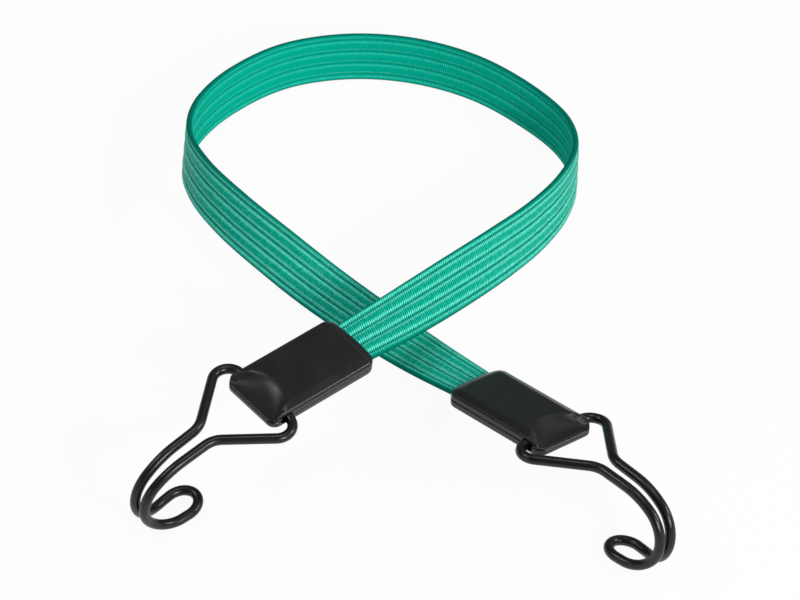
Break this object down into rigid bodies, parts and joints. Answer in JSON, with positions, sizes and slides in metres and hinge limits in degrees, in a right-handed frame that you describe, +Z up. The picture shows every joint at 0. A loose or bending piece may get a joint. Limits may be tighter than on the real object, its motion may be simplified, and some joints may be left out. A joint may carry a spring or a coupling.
{
  "type": "flat bungee cord",
  "caption": "Flat ribbed elastic strap laid in a crossed loop, with a plastic cover and a swinging bent-wire hook at each end, for tying down loads.",
  "frame": {"origin": "on the floor, under the middle of the whole object as it lies", "axes": "+Z up, +Y from the two hooks towards the back of the loop, +X from the left hook towards the right hook"},
  "size_m": [0.1922, 0.3011, 0.0417],
  "materials": {
    "strap_fabric": "ribbed woven synthetic yarn with a slight sheen",
    "core_rubber": "natural rubber thread",
    "cover_plastic": "moulded, satin",
    "crimp_steel": "plain zinc-plated sheet",
    "hook_coating": "smooth satin coating on steel wire"
  },
  "bodies": {
    "strap_and_left_end": {"strap_jacket": "strap_fabric", "rubber_core_1": "core_rubber", "rubber_core_2": "core_rubber", "rubber_core_3": "core_rubber", "rubber_core_4": "core_rubber", "rubber_core_5": "core_rubber", "left_cover_upper": "cover_plastic", "left_cover_lower": "cover_plastic", "left_strap_crimp": "crimp_steel"},
    "left_hook": {"left_hook_wire": "hook_coating"},
    "right_end": {"right_cover_upper": "cover_plastic", "right_cover_lower": "cover_plastic", "right_strap_crimp": "crimp_steel"},
    "right_hook": {"right_hook_wire": "hook_coating"}
  },
  "joints": [
    {"name": "left_hook_swing", "type": "hinge", "parent": "strap_and_left_end", "child": "left_hook", "pos_m": [-0.04886, -0.09088, 0.03643], "axis": [-0.6622, 0.7394, 0.1219], "range_deg": [-110, 140]},
    {"name": "strap_stretch", "type": "slide", "parent": "strap_and_left_end", "child": "right_end", "axis": [0.6647, -0.7346, 0.1361], "range_m": [0, 0.1], "stiffness_N_per_m": 700, "deforming": ["strap_jacket", "rubber_core_1", "rubber_core_2", "rubber_core_3", "rubber_core_4", "rubber_core_5"]},
    {"name": "right_hook_swing", "type": "hinge", "parent": "right_end", "child": "right_hook", "pos_m": [0.05445, -0.10056, 0.02747], "axis": [-0.7467, -0.6469, 0.155], "range_deg": [-110, 140]}
  ]
}
